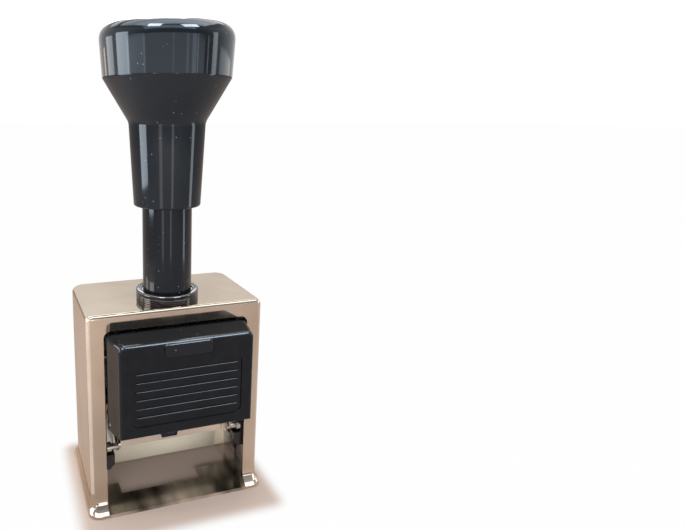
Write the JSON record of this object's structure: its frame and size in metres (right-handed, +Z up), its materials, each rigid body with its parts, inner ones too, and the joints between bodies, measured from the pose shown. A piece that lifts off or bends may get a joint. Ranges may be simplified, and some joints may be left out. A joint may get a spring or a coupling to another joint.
{
  "type": "self-inking numbering stamp",
  "caption": "Hand stamp with a plated housing and a sprung grip; number wheels behind a hinged cover come down through the base as an ink tray swings out of their way",
  "frame": {"origin": "on the floor under the middle of the overall width and depth", "axes": "+Z up along the grip, front cover towards -Y, width along X"},
  "size_m": [0.058, 0.0476, 0.1478],
  "materials": {
    "chrome_shell": "polished plating",
    "satin_steel": "satin",
    "black_gloss": "polished",
    "black_satin": "satin",
    "type_metal": "engraved type",
    "bush_brass": "turned",
    "stop_rubber": "matte",
    "ink_felt": "inked felt",
    "spring_steel": "drawn wire"
  },
  "bodies": {
    "frame": {"housing": "chrome_shell", "base_plate": "satin_steel", "guide_tube": "black_gloss", "collar_nut": "black_satin", "return_spring": "spring_steel", "cam_block_left": "black_satin", "cam_block_right": "black_satin", "wall_rivets": "chrome_shell", "swing_pins": "satin_steel", "drive_cam": "satin_steel", "drive_cam_screws": "satin_steel"},
    "carriage": {"grip": "black_gloss", "grip_insert": "bush_brass", "plunger_rod": "satin_steel", "rod_nut": "satin_steel", "stop_buffer": "stop_rubber", "bridge": "satin_steel", "side_plate_left": "satin_steel", "side_plate_right": "satin_steel", "guide_stud": "satin_steel", "side_screws": "satin_steel", "front_frame": "black_satin", "frame_screws": "satin_steel", "wheel_axle": "satin_steel", "carrier_bushes": "bush_brass", "tie_bar": "satin_steel", "detent_comb": "satin_steel", "cover_pins": "satin_steel", "carrier_spring": "spring_steel"},
    "pad_carrier": {"ink_carrier": "satin_steel", "ink_pad": "ink_felt"},
    "rocker": {"drive_rocker": "satin_steel", "cam_pin": "satin_steel"},
    "pawl": {"pawl_rod": "satin_steel", "feed_pawl": "satin_steel", "pawl_spring": "spring_steel"},
    "cover": {"front_cover": "black_gloss"},
    "wheel_1": {"number_wheel_1": "type_metal"},
    "wheel_2": {"number_wheel_2": "type_metal"},
    "wheel_3": {"number_wheel_3": "type_metal"},
    "wheel_4": {"number_wheel_4": "type_metal"},
    "wheel_5": {"number_wheel_5": "type_metal"},
    "wheel_6": {"number_wheel_6": "type_metal"}
  },
  "joints": [
    {"name": "handle_press", "type": "slide", "parent": "frame", "child": "carriage", "axis": [0, 0, -1], "range_m": [0, 0.0204], "stiffness_N_per_m": 400, "springref_m": -0.02, "deforming": ["return_spring"]},
    {"name": "carrier_swing", "type": "hinge", "parent": "carriage", "child": "pad_carrier", "pos_m": [0, 0.00013, 0.0308], "axis": [-1, 0, 0], "range_deg": [0, 90]},
    {"name": "rocker_swing", "type": "hinge", "parent": "carriage", "child": "rocker", "pos_m": [0, 0.00093, 0.03], "axis": [-1, 0, 0], "range_deg": [0, 38]},
    {"name": "pawl_lift", "type": "hinge", "parent": "rocker", "child": "pawl", "pos_m": [0, 0.01271, 0.03549], "axis": [1, 0, 0], "range_deg": [0, 12], "stiffness_Nm_per_rad": 0.01, "springref_deg": -20.05},
    {"name": "cover_open", "type": "hinge", "parent": "carriage", "child": "cover", "pos_m": [0, -0.01457, 0.0312], "axis": [1, 0, 0], "range_deg": [0, 80]},
    {"name": "wheel_1_turn", "type": "hinge", "parent": "carriage", "child": "wheel_1", "pos_m": [-0.0145, 0.00093, 0.03], "axis": [1, 0, 0], "continuous": true},
    {"name": "wheel_2_turn", "type": "hinge", "parent": "carriage", "child": "wheel_2", "pos_m": [-0.0101, 0.00093, 0.03], "axis": [1, 0, 0], "continuous": true},
    {"name": "wheel_3_turn", "type": "hinge", "parent": "carriage", "child": "wheel_3", "pos_m": [-0.0057, 0.00093, 0.03], "axis": [1, 0, 0], "continuous": true},
    {"name": "wheel_4_turn", "type": "hinge", "parent": "carriage", "child": "wheel_4", "pos_m": [-0.0013, 0.00093, 0.03], "axis": [1, 0, 0], "continuous": true},
    {"name": "wheel_5_turn", "type": "hinge", "parent": "carriage", "child": "wheel_5", "pos_m": [0.0031, 0.00093, 0.03], "axis": [1, 0, 0], "continuous": true},
    {"name": "wheel_6_turn", "type": "hinge", "parent": "carriage", "child": "wheel_6", "pos_m": [0.0075, 0.00093, 0.03], "axis": [1, 0, 0], "continuous": true}
  ],
  "couplings": [
    {"joint": "carrier_swing", "follows": "handle_press", "rad_per_m": 76.99},
    {"joint": "rocker_swing", "follows": "handle_press", "rad_per_m": 32.51}
  ]
}
